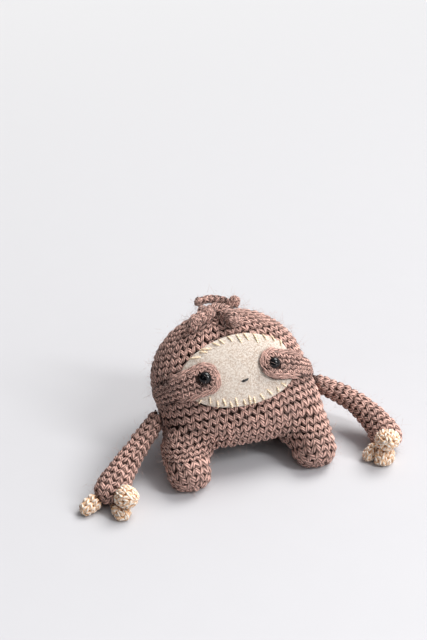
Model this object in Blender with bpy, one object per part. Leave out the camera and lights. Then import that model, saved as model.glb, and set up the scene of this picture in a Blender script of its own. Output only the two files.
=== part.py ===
"""A crocheted toy sloth that sits back on its seat and its two stubby legs.

One stuffed bag is both head and trunk.  A felt face, two crocheted eye patches with bead eyes,
two long thin arms with three cream claws each, and a tuft of four curls are sewn onto it.
Units are metres, +Z is up, and the toy faces -Y.  Left and right are the toy's own.
"""

import math

import bmesh
import bpy
from mathutils import Matrix, Vector

MM = 0.001
JOIN_GAP = 0.3 * MM  # air between pieces that touch

# The bag, measured along its own upright axis from the bottom between the legs.
BAG_HEIGHT = 69 * MM
BAG_HALF_WIDTH_LOW = 42.5 * MM
BAG_HALF_WIDTH_HIGH = 40 * MM
WIDTH_FADE_HEIGHT = 30 * MM
BAG_HALF_DEPTH = 24.5 * MM
DOME_HEIGHT = 37.5 * MM
BOTTOM_HEIGHT = 18 * MM
SECTION_POWER = 2.4  # superellipse power of a level section: 2 is an ellipse
DOME_POWER = 2.1
BOTTOM_POWER_WIDE = 4.0
BOTTOM_POWER_DEEP = 2.6
CHIN_HEIGHT = 20 * MM  # where the head ends and the trunk begins
BAG_SIDES = 40
HEAD_SHIFT = 4.5 * MM  # how far the head sits off to the toy's right
HEAD_SHIFT_HEIGHTS = (12 * MM, 44 * MM)

# The bag leans back on the rear of its bottom, which the floor flattens.
LEAN_BACK = math.radians(30)
SEAT_SINK = 2.2 * MM

# Legs, in the bag's axes: X to the toy's left, Y to its back, Z up the bag.
LEG_ROOTS = {"left": Vector((29.5, -5, 12)) * MM, "right": Vector((-34, -5, 12)) * MM}
LEG_BEND = math.radians(33)
LEG_LENGTH = 31 * MM
LEG_HALF_WIDTH = 11.1 * MM
LEG_HALF_DEPTH = 12.4 * MM
LEG_ROUNDINGS = (5 * MM, 10 * MM)  # at the root and at the foot
LEG_END_POWER = 2.3
LEG_SIDES = 20

# The face lies on the bag's front.  Its places are (distance round from the middle, height up the bag).
FACE_HEIGHT = 39.5 * MM
FELT_HALF_WIDTH = 28.4 * MM
FELT_HALF_HEIGHT = 16.4 * MM
FELT_POWER = 2.2
FELT_TILT = math.radians(4.5)  # its end on the toy's left is the higher one
FELT_THICKNESS = 1.0 * MM
PATCH_INNER = Vector((17.0, 38.2)) * MM
PATCH_OUTERS = {"left": Vector((40, 34)) * MM, "right": Vector((-44, 32)) * MM}
PATCH_INNER_RADIUS = 7.1 * MM
PATCH_OUTER_RADIUS = 5.3 * MM
PATCH_THICKNESS = 2.6 * MM
PATCH_RIM_SHARE = 0.45  # the patch's thickness at its rim, against the middle
PATCH_THINNING = 0.4  # the share of its thickness that it loses towards its outer end
FELT_STEP_MARGIN = 3.4 * MM  # how far past the felt's edge a patch still bridges it
EYE_AT = Vector((16.8, 38.9)) * MM
EYE_RADIUS = 2.9 * MM
EYE_RIM = 0.7 * MM
EYE_HEIGHT = 2.6 * MM
EYE_SOCKET_DEPTH = 1.1 * MM
NOSE_HEIGHT = 34.7 * MM
NOSE_HALF_WIDTH = 1.9 * MM
NOSE_HALF_HEIGHT = 0.6 * MM
NOSE_THICKNESS = 1.0 * MM
NOSE_TILT = math.radians(4)

# Arms hang from the bag's sides down to the floor. A shoulder is a place on the bag, while an
# arm's bend and the end of its hand are measured from the floor under the bag.
SHOULDERS = {"left": Vector((53, 28)) * MM, "right": Vector((-53, 24)) * MM}
SHOULDER_DEPTH = 4 * MM
ARM_BENDS = {"left": Vector((68, 6, 14)) * MM, "right": Vector((-60, -2.5, 12)) * MM}
HAND_ENDS = {"left": Vector((67.5, -25, 4.7)) * MM, "right": Vector((-77, -24, 4.7)) * MM}
SHOULDER_RADIUS = 4.7 * MM
HAND_RADIUS = 8.2 * MM
HAND_HALF_WIDTH = 9.4 * MM  # what the arm swells towards, past the start of the hand's rounding
HAND_HALF_DEPTH = 8.6 * MM
ARM_SWELLING = 2.0  # power of the share along the arm by which it swells
ARM_SIDES = 16
ARM_STEPS = 14

# Claws: fat nubs on the hand's end, each by heading (degrees from -Y towards +X), rise, and half
# its width and depth in mm.
CLAWS = {
    "left": ((-58, -16, 3.6, 3.5), (-22, 27, 6.6, 5.4), (-30, -18, 6.0, 4.2)),
    "right": ((-66, -16, 4.2, 4.2), (27, 12, 5.9, 5.6), (11, -19, 4.8, 4.2)),
}
CLAW_LENGTH = 14 * MM
CLAW_ROOT_REACH = 4.5 * MM  # from the hand's middle to a claw's root
CLAW_SIDES = 10

# Curls of the tuft: radius, then root, bend and tip in the bag's axes from the crown.
CURLS = (
    (2.1 * MM, Vector((9.5, 3.5, -2.0)) * MM, Vector((3.5, 4, 8.2)) * MM, Vector((-11.0, 3.5, 4.2)) * MM),
    (3.0 * MM, Vector((6, 0, -4.5)) * MM, Vector((7.5, -1, 1)) * MM, Vector((8.9, -0.5, 5.0)) * MM),
    (3.1 * MM, Vector((-2.5, -6, -2.5)) * MM, Vector((-11.6, -14, 1)) * MM, Vector((-19.8, -15, -7.2)) * MM),
    (3.3 * MM, Vector((0, -8, -4)) * MM, Vector((0.8, -15.5, -1)) * MM, Vector((2.4, -20.8, -6.6)) * MM),
)
CURL_SIDES = 10
CURL_STEPS = 8

END_RINGS = 4  # rings of a rounded end, its pole included

BROWN_YARN = (0.30, 0.205, 0.175)
CREAM_YARN = (0.85, 0.70, 0.52)
OATMEAL_FELT = (0.62, 0.55, 0.47)
BLACK_BEAD = (0.01, 0.01, 0.012)

SIDES = {"left": 1, "right": -1}


def signed_power(value, power):
    return math.copysign(abs(value) ** power, value)


def quarter_share(reach, power):
    """Height of a superellipse quarter of unit size, at a reach of 0 to 1 from its middle."""
    return (1 - min(1.0, reach) ** power) ** (1 / power)


def bag_half_sizes(height):
    """Half width and half depth of the bag's level section."""
    fade = min(1.0, max(0.0, height / WIDTH_FADE_HEIGHT))
    wide = BAG_HALF_WIDTH_LOW + (BAG_HALF_WIDTH_HIGH - BAG_HALF_WIDTH_LOW) * fade
    above = max(0.0, 1 - (BAG_HEIGHT - height) / DOME_HEIGHT)
    below = max(0.0, 1 - height / BOTTOM_HEIGHT)
    dome = quarter_share(above, DOME_POWER)
    half_width = wide * dome * quarter_share(below, BOTTOM_POWER_WIDE)
    half_depth = BAG_HALF_DEPTH * dome * quarter_share(below, BOTTOM_POWER_DEEP)
    return half_width, half_depth


def bag_middle(height):
    """X of the bag's middle, which eases off to one side between the trunk and the head."""
    low, high = HEAD_SHIFT_HEIGHTS
    share = min(1.0, max(0.0, (height - low) / (high - low)))
    return -HEAD_SHIFT * share * share * (3 - 2 * share)


def section_point(turn, height, grow=0.0):
    """Point of the bag's level section. Turn 0 is the front, a quarter turn the toy's left."""
    half_width, half_depth = bag_half_sizes(height)
    x = bag_middle(height) + (half_width + grow) * signed_power(math.sin(turn), 2 / SECTION_POWER)
    y = -(half_depth + grow) * signed_power(math.cos(turn), 2 / SECTION_POWER)
    return Vector((x, y, height))


def measure_turns(samples=360):
    """(distance round the bag from its front middle, turn) pairs at the height of the face."""
    table = [(0.0, 0.0)]
    for i in range(1, samples + 1):
        turn = math.pi * i / samples
        step = section_point(turn, FACE_HEIGHT) - section_point(math.pi * (i - 1) / samples, FACE_HEIGHT)
        table.append((table[-1][0] + step.length, turn))
    return table


TURNS = measure_turns()


def turn_at(distance):
    """Turn of a signed distance round the bag."""
    for (near, near_turn), (far, far_turn) in zip(TURNS, TURNS[1:]):
        if far >= abs(distance):
            share = (abs(distance) - near) / (far - near)
            return math.copysign(near_turn + (far_turn - near_turn) * share, distance)
    return math.copysign(math.pi, distance)


def face_point(place, lift=0.0):
    """Point on the bag at (distance round, height), lifted along the outward normal."""
    step = 0.2 * MM
    across, height = place
    here = section_point(turn_at(across), height)
    along = section_point(turn_at(across + step), height) - section_point(turn_at(across - step), height)
    up = section_point(turn_at(across), height + step) - section_point(turn_at(across), height - step)
    return here + along.cross(up).normalized() * lift


def loft(rings, first_pole=None, last_pole=None):
    """A closed mesh through rings of equal count. An end without a pole gets a flat cap."""
    mesh = bmesh.new()
    loops = [[mesh.verts.new(point) for point in ring] for ring in rings]
    count = len(loops[0])
    for lower, upper in zip(loops, loops[1:]):
        for i in range(count):
            k = (i + 1) % count
            mesh.faces.new((lower[i], lower[k], upper[k], upper[i]))
    for loop, pole in ((loops[0], first_pole), (loops[-1], last_pole)):
        if pole is None:
            mesh.faces.new(loop)
        else:
            tip = mesh.verts.new(pole)
            for i in range(count):
                mesh.faces.new((loop[i], loop[(i + 1) % count], tip))
    bmesh.ops.recalc_face_normals(mesh, faces=mesh.faces)
    return mesh


def bag_mesh(low, high, grow=0.0):
    """The bag between two heights. It closes in a pole at its own bottom and top."""
    levels = [BOTTOM_HEIGHT * (1 - math.cos(math.pi / 2 * i / 8)) for i in range(1, 9)]
    levels += [BOTTOM_HEIGHT + (BAG_HEIGHT - DOME_HEIGHT - BOTTOM_HEIGHT) * i / 5 for i in range(1, 6)]
    levels += [BAG_HEIGHT - DOME_HEIGHT * (1 - math.sin(math.pi / 2 * i / 11)) for i in range(1, 11)]
    inside = [level for level in levels if low < level < high]
    if low > 0:
        inside.insert(0, low)
    if high < BAG_HEIGHT:
        inside.append(high)
    turns = [math.tau * i / BAG_SIDES for i in range(BAG_SIDES)]
    rings = [[section_point(turn, level, grow) for turn in turns] for level in inside]
    bottom = None if low > 0 else Vector((0, 0, -grow))
    top = None if high < BAG_HEIGHT else Vector((bag_middle(BAG_HEIGHT), 0, BAG_HEIGHT + grow))
    return loft(rings, bottom, top)


def rounded_profile(length, start_rounding, end_rounding, steps, end_power):
    """(distance, share of the full size) along a tube with rounded ends, its poles left out."""
    turns = [math.pi / 2 * i / END_RINGS for i in range(1, END_RINGS)]
    profile = [(start_rounding * (1 - math.cos(turn)), math.sin(turn)) for turn in turns]
    straight = length - start_rounding - end_rounding
    profile += [(start_rounding + straight * i / steps, 1.0) for i in range(steps + 1)]
    for turn in reversed(turns):
        reach = 1 - math.cos(turn) ** (2 / end_power)
        profile.append((length - end_rounding * reach, math.sin(turn) ** (2 / end_power)))
    return profile


def tube(route, half_sizes, sides, steps, roundings, end_power=2.0, swelling=1.0, grow=0.0):
    """A closed tube along a route of (start, bend, end). half_sizes is (width, depth) at both ends."""
    start, bend, end = route
    samples = 100
    shares = [i / samples for i in range(samples + 1)]
    points = [start * (1 - s) ** 2 + bend * (2 * s * (1 - s)) + end * s**2 for s in shares]
    gone = [0.0]
    for before, after in zip(points, points[1:]):
        gone.append(gone[-1] + (after - before).length)
    length = gone[-1]
    side = Vector((1, 0, 0))
    rings = []
    for distance, share in rounded_profile(length, *roundings, steps, end_power):
        k = max(1, next(i for i, value in enumerate(gone) if value >= distance))
        ahead = (points[k] - points[k - 1]).normalized()
        middle = points[k - 1].lerp(points[k], (distance - gone[k - 1]) / (gone[k] - gone[k - 1]))
        side = (side - ahead * side.dot(ahead)).normalized()
        up = ahead.cross(side)
        far = (distance / length) ** swelling
        wide = (half_sizes[0][0] * (1 - far) + half_sizes[1][0] * far) * share + grow
        deep = (half_sizes[0][1] * (1 - far) + half_sizes[1][1] * far) * share + grow
        turns = [math.tau * i / sides for i in range(sides)]
        rings.append([middle + side * wide * math.cos(t) + up * deep * math.sin(t) for t in turns])
    first = points[0] - (points[1] - points[0]).normalized() * grow
    last = points[-1] + (points[-1] - points[-2]).normalized() * grow
    return loft(rings, first, last)


def pad(middle, edge, low, high, rings, sides):
    """A closed pad on the face. edge(turn) reaches from its middle, low and high are its lifts."""
    turns = [math.tau * i / sides for i in range(sides)]
    shares = [math.sin(math.pi / 2 * i / rings) for i in range(1, rings + 1)]
    places = [[middle + edge(turn) * share for turn in turns] for share in shares]
    below = [[face_point(place, low(place)) for place in ring] for ring in places]
    above = [
        [face_point(place, low(place) + high(place, share)) for place in ring]
        for ring, share in zip(places, shares)
    ]
    first = face_point(middle, low(middle))
    last = face_point(middle, low(middle) + high(middle, 0.0))
    return loft(below + above[::-1], first, last)


def clear_scene():
    for thing in list(bpy.data.objects):
        bpy.data.objects.remove(thing, do_unlink=True)


def make_finish(name, colour, roughness):
    finish = bpy.data.materials.new(name)
    finish.use_nodes = True
    shader = finish.node_tree.nodes["Principled BSDF"]
    shader.inputs["Base Color"].default_value = (*colour, 1)
    shader.inputs["Roughness"].default_value = roughness
    shader.inputs["Metallic"].default_value = 0.0
    finish.diffuse_color = (*colour, 1)
    return finish


def add_empty(name, parent=None):
    empty = bpy.data.objects.new(name, None)
    bpy.context.collection.objects.link(empty)
    empty.parent = parent
    return empty


def add_object(name, mesh, parent):
    data = bpy.data.meshes.new(name)
    mesh.to_mesh(data)
    mesh.free()
    data.shade_smooth()
    thing = bpy.data.objects.new(name, data)
    bpy.context.collection.objects.link(thing)
    thing.parent = parent
    return thing


def add_piece(name, mesh, parent, colour, roughness=0.9, cutters=()):
    """A named sub-part with its own material, cut back from its neighbours."""
    piece = add_object(name, mesh, parent)
    piece.data.materials.append(make_finish(name, colour, roughness))
    for cutter in cutters:
        cut = piece.modifiers.new(f"clear_of_{cutter.name}", "BOOLEAN")
        cut.operation = "DIFFERENCE"
        cut.solver = "EXACT"
        cut.object = cutter
    return piece


def add_cutter(name, mesh, parent):
    cutter = add_object(name, mesh, parent)
    cutter.hide_render = True
    cutter.display_type = "WIRE"
    return cutter


def floor_mesh():
    """A slab whose top is the floor."""
    mesh = bmesh.new()
    bmesh.ops.create_cube(mesh, size=1)
    bmesh.ops.scale(mesh, vec=(0.4, 0.4, 0.05), verts=mesh.verts)
    bmesh.ops.translate(mesh, vec=(0, 0, -0.025), verts=mesh.verts)
    return mesh


def bag_pose():
    """The bag leans back and its seat sinks a little into the floor."""
    lean = Matrix.Rotation(-LEAN_BACK, 4, "X")
    lowest = min((lean @ vert.co).z for vert in bag_mesh(0, BAG_HEIGHT).verts)
    return Matrix.Translation((0, 0, -lowest - SEAT_SINK)) @ lean


def build_legs(bag, cutters):
    ahead = Vector((0, -math.sin(LEG_BEND), -math.cos(LEG_BEND)))
    size = (LEG_HALF_WIDTH, LEG_HALF_DEPTH)
    for name, root in LEG_ROOTS.items():
        end = root + ahead * LEG_LENGTH
        leg = tube((root, (root + end) / 2, end), (size, size), LEG_SIDES, 4, LEG_ROUNDINGS, LEG_END_POWER)
        add_piece(f"leg_{name}", leg, bag, BROWN_YARN, cutters=cutters)


def build_arms(toy, pose, bag_cutter, floor):
    sizes = ((SHOULDER_RADIUS,) * 2, (HAND_HALF_WIDTH, HAND_HALF_DEPTH))
    roundings = (SHOULDER_RADIUS, HAND_RADIUS)
    for name in SIDES:
        shoulder = pose @ face_point(SHOULDERS[name], -SHOULDER_DEPTH)
        route = (shoulder, ARM_BENDS[name], HAND_ENDS[name])
        arm = tube(route, sizes, ARM_SIDES, ARM_STEPS, roundings, swelling=ARM_SWELLING)
        add_piece(f"arm_{name}", arm, toy, BROWN_YARN, cutters=(bag_cutter, floor))
        grown = tube(route, sizes, ARM_SIDES, ARM_STEPS, roundings, swelling=ARM_SWELLING, grow=JOIN_GAP)
        arm_cutter = add_cutter(f"arm_cutter_{name}", grown, toy)
        ahead = (HAND_ENDS[name] - ARM_BENDS[name]).normalized()
        build_claws(toy, name, HAND_ENDS[name] - ahead * HAND_RADIUS, [floor, arm_cutter])


def build_claws(toy, name, palm, cutters):
    """Three claws rooted in the hand. Each is cut back from the ones before it."""
    for number, (heading, rise, wide, deep) in enumerate(CLAWS[name], 1):
        sizes = ((wide * MM, deep * MM),) * 2
        roundings = (deep * MM, deep * MM)
        turn, climb = math.radians(heading), math.radians(rise)
        way = Vector((math.sin(turn) * math.cos(climb), -math.cos(turn) * math.cos(climb), math.sin(climb)))
        root = palm + way * CLAW_ROOT_REACH
        tip = root + way * CLAW_LENGTH
        route = (root, (root + tip) / 2, tip)
        claw = tube(route, sizes, CLAW_SIDES, 2, roundings)
        add_piece(f"claw_{name}_{number}", claw, toy, CREAM_YARN, cutters=tuple(cutters))
        grown = tube(route, sizes, CLAW_SIDES, 2, roundings, grow=JOIN_GAP)
        cutters.append(add_cutter(f"claw_cutter_{name}_{number}", grown, toy))


def build_tuft(bag, bag_cutter):
    """Four fat curls from the crown. Each is cut back from the ones before it."""
    crown = Vector((bag_middle(BAG_HEIGHT), 0, BAG_HEIGHT))
    cutters = [bag_cutter]
    for number, (radius, root, bend, tip) in enumerate(CURLS, 1):
        route = (crown + root, crown + bend, crown + tip)
        sizes = ((radius,) * 2, (radius,) * 2)
        curl = tube(route, sizes, CURL_SIDES, CURL_STEPS, (radius, radius))
        add_piece(f"hair_curl_{number}", curl, bag, BROWN_YARN, cutters=tuple(cutters))
        grown = tube(route, sizes, CURL_SIDES, CURL_STEPS, (radius, radius), grow=JOIN_GAP)
        cutters.append(add_cutter(f"curl_cutter_{number}", grown, bag))


def superellipse(turn, half_width, half_height, power):
    across = half_width * signed_power(math.cos(turn), 2 / power)
    return Vector((across, half_height * signed_power(math.sin(turn), 2 / power)))


def felt_lift(place):
    """Lift that clears the felt where it lies, easing down to the bag past its edge."""
    across = abs(place[0]) / (FELT_HALF_WIDTH + FELT_STEP_MARGIN)
    up = abs(place[1] - FACE_HEIGHT) / (FELT_HALF_HEIGHT + FELT_STEP_MARGIN)
    reach = (across**FELT_POWER + up**FELT_POWER) ** (1 / FELT_POWER)
    beyond = min(1.0, max(0.0, (reach - 1) * FELT_HALF_WIDTH / FELT_STEP_MARGIN))
    over_felt = FELT_THICKNESS + 2 * JOIN_GAP
    return over_felt + (JOIN_GAP - over_felt) * beyond * beyond * (3 - 2 * beyond)


def patch_edge(turn, inner, outer):
    """Edge of an eye patch from its middle: two discs of unequal size and the hull round them."""
    middle = (inner + outer) / 2
    way = Vector((math.cos(turn), math.sin(turn)))
    reach = 0.0
    steps = 40
    for i in range(steps + 1):
        disc = inner.lerp(outer, i / steps) - middle
        radius = PATCH_INNER_RADIUS + (PATCH_OUTER_RADIUS - PATCH_INNER_RADIUS) * i / steps
        along = disc.dot(way)
        off = disc.length_squared - along * along
        if off < radius * radius:
            reach = max(reach, along + math.sqrt(radius * radius - off))
    return way * reach


def build_face(bag):
    felt_turn = Matrix.Rotation(FELT_TILT, 2)

    def edge_of_felt(turn):
        return felt_turn @ superellipse(turn, FELT_HALF_WIDTH, FELT_HALF_HEIGHT, FELT_POWER)

    felt = pad(
        Vector((0, FACE_HEIGHT)),
        edge_of_felt,
        lambda place: JOIN_GAP,
        lambda place, share: FELT_THICKNESS,
        rings=6,
        sides=40,
    )
    add_piece("face_felt", felt, bag, OATMEAL_FELT)

    tilt = Matrix.Rotation(NOSE_TILT, 2)
    stitch = pad(
        Vector((0, NOSE_HEIGHT)),
        lambda turn: tilt @ superellipse(turn, NOSE_HALF_WIDTH, NOSE_HALF_HEIGHT, 2.0),
        felt_lift,
        lambda place, share: NOSE_THICKNESS * (0.4 + 0.6 * quarter_share(share, 2)),
        rings=3,
        sides=12,
    )
    add_piece("nose_stitch", stitch, bag, BLACK_BEAD, 0.5)
    for name, side in SIDES.items():
        build_eye(bag, name, side)


def build_eye(bag, name, side):
    """A crocheted patch with a round socket that the bead eye sits in."""
    inner = Vector((side * PATCH_INNER.x, PATCH_INNER.y))
    outer = PATCH_OUTERS[name]
    eye = Vector((side * EYE_AT.x, EYE_AT.y))

    def socket_lift(place):
        return felt_lift(place) + PATCH_THICKNESS - EYE_SOCKET_DEPTH

    def patch_thickness(place, share):
        along = (place - inner).dot(outer - inner) / (outer - inner).length_squared
        thickness = PATCH_THICKNESS * (1 - PATCH_THINNING * min(1.0, max(0.0, along)))
        return thickness * (PATCH_RIM_SHARE + (1 - PATCH_RIM_SHARE) * quarter_share(share, 3))

    patch = pad(
        (inner + outer) / 2,
        lambda turn: patch_edge(turn, inner, outer),
        felt_lift,
        patch_thickness,
        rings=8,
        sides=40,
    )
    socket = pad(
        eye,
        lambda turn: superellipse(turn, EYE_RADIUS + JOIN_GAP, EYE_RADIUS + JOIN_GAP, 2.0),
        socket_lift,
        lambda place, share: 2 * PATCH_THICKNESS,
        rings=2,
        sides=16,
    )
    bead = pad(
        eye,
        lambda turn: superellipse(turn, EYE_RADIUS, EYE_RADIUS, 2.0),
        lambda place: socket_lift(place) + JOIN_GAP,
        lambda place, share: EYE_RIM + (EYE_HEIGHT - EYE_RIM) * quarter_share(share, 2),
        rings=5,
        sides=16,
    )
    socket_cutter = add_cutter(f"socket_{name}", socket, bag)
    add_piece(f"eye_patch_{name}", patch, bag, BROWN_YARN, cutters=(socket_cutter,))
    add_piece(f"eye_{name}", bead, bag, BLACK_BEAD, 0.1)


def box_of(pieces):
    """Lowest and highest corner of the finished pieces."""
    bpy.context.view_layer.update()
    graph = bpy.context.evaluated_depsgraph_get()
    corners = []
    for piece in pieces:
        shown = piece.evaluated_get(graph)
        corners += [piece.matrix_world @ vert.co for vert in shown.data.vertices]
    low = Vector([min(corner[axis] for corner in corners) for axis in range(3)])
    high = Vector([max(corner[axis] for corner in corners) for axis in range(3)])
    return low, high


def build_toy():
    clear_scene()
    toy = add_empty("toy")
    bag = add_empty("bag", toy)
    pose = bag_pose()
    bag.matrix_basis = pose
    floor = add_cutter("floor", floor_mesh(), toy)
    bag_cutter = add_cutter("bag_cutter", bag_mesh(0, BAG_HEIGHT, JOIN_GAP), bag)
    half_gap = JOIN_GAP / 2
    add_piece("head", bag_mesh(CHIN_HEIGHT + half_gap, BAG_HEIGHT), bag, BROWN_YARN)
    add_piece("trunk", bag_mesh(0, CHIN_HEIGHT - half_gap), bag, BROWN_YARN, cutters=(floor,))
    build_legs(bag, (bag_cutter, floor))
    build_arms(toy, pose, bag_cutter, floor)
    build_tuft(bag, bag_cutter)
    build_face(bag)
    solids = [thing for thing in bpy.data.objects if thing.type == "MESH" and not thing.hide_render]
    low, high = box_of(solids)
    toy.location = (-(low.x + high.x) / 2, -(low.y + high.y) / 2, -low.z)


build_toy()
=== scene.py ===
import math

import bmesh
import bpy
import numpy as np
from mathutils import Matrix, Vector
from mathutils.bvhtree import BVHTree


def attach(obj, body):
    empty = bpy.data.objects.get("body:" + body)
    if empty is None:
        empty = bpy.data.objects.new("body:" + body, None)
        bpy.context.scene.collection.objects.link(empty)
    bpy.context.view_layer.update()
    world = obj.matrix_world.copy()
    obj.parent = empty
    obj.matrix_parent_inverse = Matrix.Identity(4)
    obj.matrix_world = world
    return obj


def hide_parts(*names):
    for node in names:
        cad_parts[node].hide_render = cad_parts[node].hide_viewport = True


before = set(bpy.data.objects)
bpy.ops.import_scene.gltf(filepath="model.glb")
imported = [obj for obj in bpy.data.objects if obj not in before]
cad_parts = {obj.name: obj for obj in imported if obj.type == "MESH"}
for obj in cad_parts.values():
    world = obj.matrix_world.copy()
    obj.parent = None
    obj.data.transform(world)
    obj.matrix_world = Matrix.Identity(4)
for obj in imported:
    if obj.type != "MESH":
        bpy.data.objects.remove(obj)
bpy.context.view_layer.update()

mm = 0.001
leftRight = ("left", "right")
chance = np.random.default_rng(11)

# The camera: degrees and metres, round the point it looks at.
shot = {
    "azimuth": -14.4,
    "elevation": 32.7,
    "roll": -1.2,
    "distance": 0.533,
    "aim": (-0.0002, 0.0302, 0.0570),
    "lens": 60,
}

studio = {
    "skyColour": (0.985, 0.98, 1.0),
    "skyWay": (0.68, 0.26, 0.68),  # the sky is brightest this way
    "lowSky": 0.02,
    "highSky": 0.82,
    "sunTurn": 115,
    "sunHeight": 55,
    "sunStrength": 2.75,
    "sunSpread": 34,
    "sunColour": (1.0, 0.985, 0.96),
    "lampTarget": (0, 0, 0.04),
    # Soft boxes: name, place, power in W, width and height.
    "lamps": (
        ("softbox_left", (-0.72, -0.54, 0.74), 0.4, 0.14, 0.5),
        ("softbox_right", (0.67, -0.51, 0.76), 6.0, 0.14, 0.5),
        ("fill_right", (0.52, -0.92, 0.34), 2.1, 0.8, 0.8),
    ),
    "floorSize": 6,
    "floorColour": (0.568, 0.568, 0.590),
    # The floor is painted lighter behind the toy, from fadeFrom to fadeTo, as painted light.
    "farColour": (0.72, 0.725, 0.74),
    "fadeFrom": 0.05,
    "fadeTo": 0.8,
}


def wayOf(turn, rise):
    # The way at so many degrees from the front towards the toy's left, and at so many up.
    turn, rise = math.radians(turn), math.radians(rise)
    return np.array((math.sin(turn) * math.cos(rise), -math.cos(turn) * math.cos(rise), math.sin(rise)))


def newObject(name, data):
    thing = bpy.data.objects.new(name, data)
    bpy.context.scene.collection.objects.link(thing)
    return thing


def placeCamera():
    back = Vector(wayOf(shot["azimuth"], shot["elevation"]))
    roll = math.radians(shot["roll"])
    flatRight = Vector((0, 0, 1)).cross(back).normalized()
    flatUp = back.cross(flatRight)
    right = flatRight * math.cos(roll) + flatUp * math.sin(roll)
    up = back.cross(right)
    camera = newObject("camera", bpy.data.cameras.new("camera"))
    camera.data.lens = shot["lens"]
    camera.data.clip_start = 0.01
    turned = Matrix((right, up, back)).transposed().to_4x4()
    camera.matrix_world = Matrix.Translation(Vector(shot["aim"]) + back * shot["distance"]) @ turned
    bpy.context.scene.camera = camera


def addLamp(name, kind, place, target, power, **settings):
    lamp = newObject(name, bpy.data.lights.new(name, kind))
    lamp.data.energy = power
    for key, value in settings.items():
        setattr(lamp.data, key, value)
    away = Vector(place) - Vector(target)
    lamp.matrix_world = Matrix.Translation(Vector(place)) @ away.to_track_quat("Z", "Y").to_matrix().to_4x4()


def lightStudio():
    world = bpy.data.worlds.new("studio")
    world.use_nodes = True
    sky = world.node_tree.nodes["Background"]
    sky.inputs["Color"].default_value = (*studio["skyColour"], 1)
    way = addNode(world.node_tree, "ShaderNodeTexCoord").outputs["Generated"]
    towards = {0: way, 1: studio["skyWay"]}
    rise = addNode(world.node_tree, "ShaderNodeVectorMath", towards, operation="DOT_PRODUCT").outputs["Value"]
    spans = {0: rise, 1: 0.0, 2: 1.0, 3: studio["lowSky"], 4: studio["highSky"]}
    glow = addNode(world.node_tree, "ShaderNodeMapRange", spans).outputs[0]
    world.node_tree.links.new(glow, sky.inputs["Strength"])
    bpy.context.scene.world = world
    bpy.context.scene.view_settings.view_transform = "Standard"
    high = wayOf(studio["sunTurn"], studio["sunHeight"])
    sun = {"color": studio["sunColour"], "angle": math.radians(studio["sunSpread"])}
    addLamp("sun", "SUN", high, (0, 0, 0), studio["sunStrength"], **sun)
    for name, place, power, width, height in studio["lamps"]:
        box = {"shape": "RECTANGLE", "size": width, "size_y": height}
        addLamp(name, "AREA", place, studio["lampTarget"], power, **box)


def addNode(tree, kind, values=None, **settings):
    node = tree.nodes.new(kind)
    for key, value in settings.items():
        setattr(node, key, value)
    for key, value in (values or {}).items():
        if isinstance(value, bpy.types.NodeSocket):
            tree.links.new(value, node.inputs[key])
        else:
            node.inputs[key].default_value = value
    return node


def mathNode(tree, operation, first, second=0.0, third=0.0, clamp=False):
    values = {0: first, 1: second, 2: third}
    return addNode(tree, "ShaderNodeMath", values, operation=operation, use_clamp=clamp).outputs[0]


def ramp(tree, value, middle, gain, level):
    # Level where the value is middle, climbing by gain, and held between 0 and 1.
    return mathNode(tree, "MULTIPLY_ADD", mathNode(tree, "SUBTRACT", value, middle), gain, level, clamp=True)


def objectPlace(tree):
    return addNode(tree, "ShaderNodeTexCoord").outputs["Object"]


def noiseNode(tree, place, scale, detail, roughness=0.5):
    values = {"Vector": place, "Scale": scale, "Detail": detail, "Roughness": roughness}
    return addNode(tree, "ShaderNodeTexNoise", values).outputs[0]


def mixColours(tree, factor, first, second):
    values = {0: factor, 6: first, 7: second}
    return addNode(tree, "ShaderNodeMix", values, data_type="RGBA").outputs[2]


def newGroup(name, inputs, outputs):
    group = bpy.data.node_groups.new(name, "ShaderNodeTree")
    for direction, sockets in (("INPUT", inputs), ("OUTPUT", outputs)):
        for socketName, kind in sockets:
            group.interface.new_socket(socketName, in_out=direction, socket_type=f"NodeSocket{kind}")
    start = group.nodes.new("NodeGroupInput")
    end = group.nodes.new("NodeGroupOutput")
    return group, start.outputs, end.inputs


placeCamera()
lightStudio()


spun = {
    "plyPower": 1.4,
    "fibreSlant": 5.0,
    "fibreScale": 2.2,
    "cloudScale": 900.0,
    "tipPower": 3.0,
    # How strongly each part shows: groove and tip are painted shade, fleck and tint are the yarn's own tone,
    # fibreHeight is the bump.
    "groove": 0.92,
    "tip": 0.4,
    "fleck": 1.6,
    "tint": 0.4,
    "fibreHeight": 0.5,
}


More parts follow.
